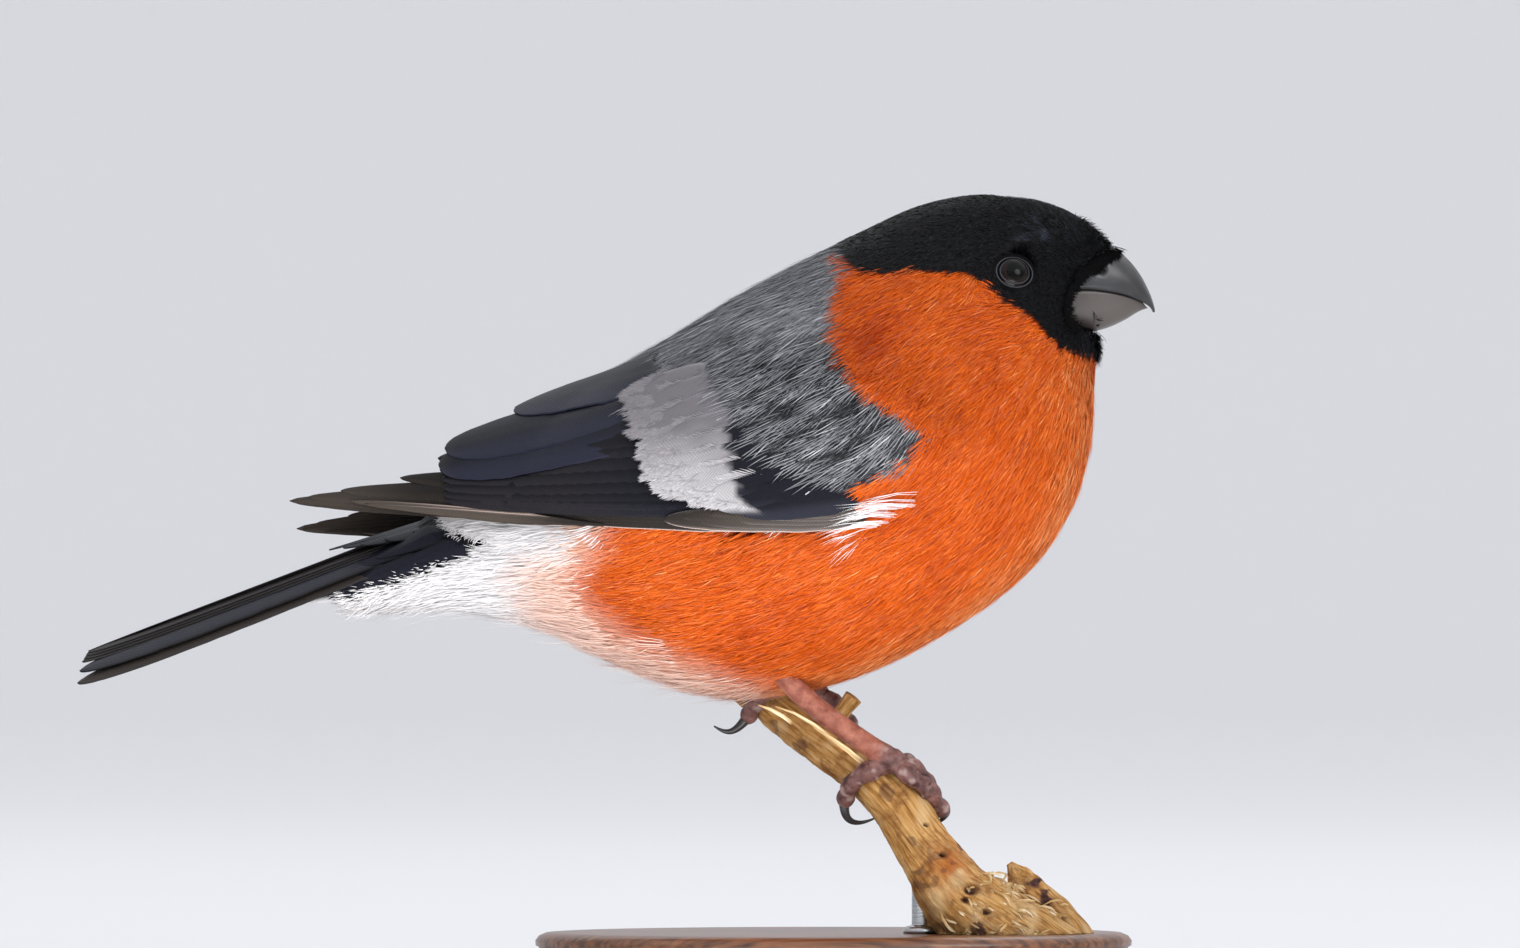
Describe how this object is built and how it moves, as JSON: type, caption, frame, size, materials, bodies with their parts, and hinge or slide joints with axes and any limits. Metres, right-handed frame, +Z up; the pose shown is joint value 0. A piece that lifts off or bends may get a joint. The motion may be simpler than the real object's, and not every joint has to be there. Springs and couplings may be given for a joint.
{
  "type": "bullfinch figure on a perch",
  "caption": "Life-size still figure of a male bullfinch with folded wings, gripping a short cut branch that a rod and a flat oval base hold up.",
  "frame": {"origin": "on the underside of the base, under the middle of the whole model's bounding box", "axes": "+X towards the bird's bill, +Z up, -Y towards the bird's right side, which faces the camera"},
  "size_m": [0.1538, 0.062, 0.1143],
  "materials": {
    "black_feather": "glossy blue-black feather",
    "orange_feather": "soft matt feather",
    "leg_skin": "scaly skin, slight sheen",
    "horn": "satin horn",
    "eye": "wet gloss",
    "bare_wood": "weathered, barkless",
    "stained_timber": "satin stain",
    "satin_steel": "satin"
  },
  "bodies": {
    "root": {"head": "black_feather", "neck": "orange_feather", "torso": "orange_feather", "tail": "black_feather", "wing_right": "black_feather", "wing_left": "black_feather", "leg_right": "leg_skin", "leg_left": "leg_skin", "bill_upper": "horn", "bill_lower": "horn", "eye_right": "eye", "eye_left": "eye", "claw_right_inner": "horn", "claw_right_middle": "horn", "claw_right_outer": "horn", "claw_right_hind": "horn", "claw_left_inner": "horn", "claw_left_middle": "horn", "claw_left_outer": "horn", "claw_left_hind": "horn", "perch_branch": "bare_wood", "stand_base": "stained_timber", "stand_rod": "satin_steel"}
  },
  "joints": []
}
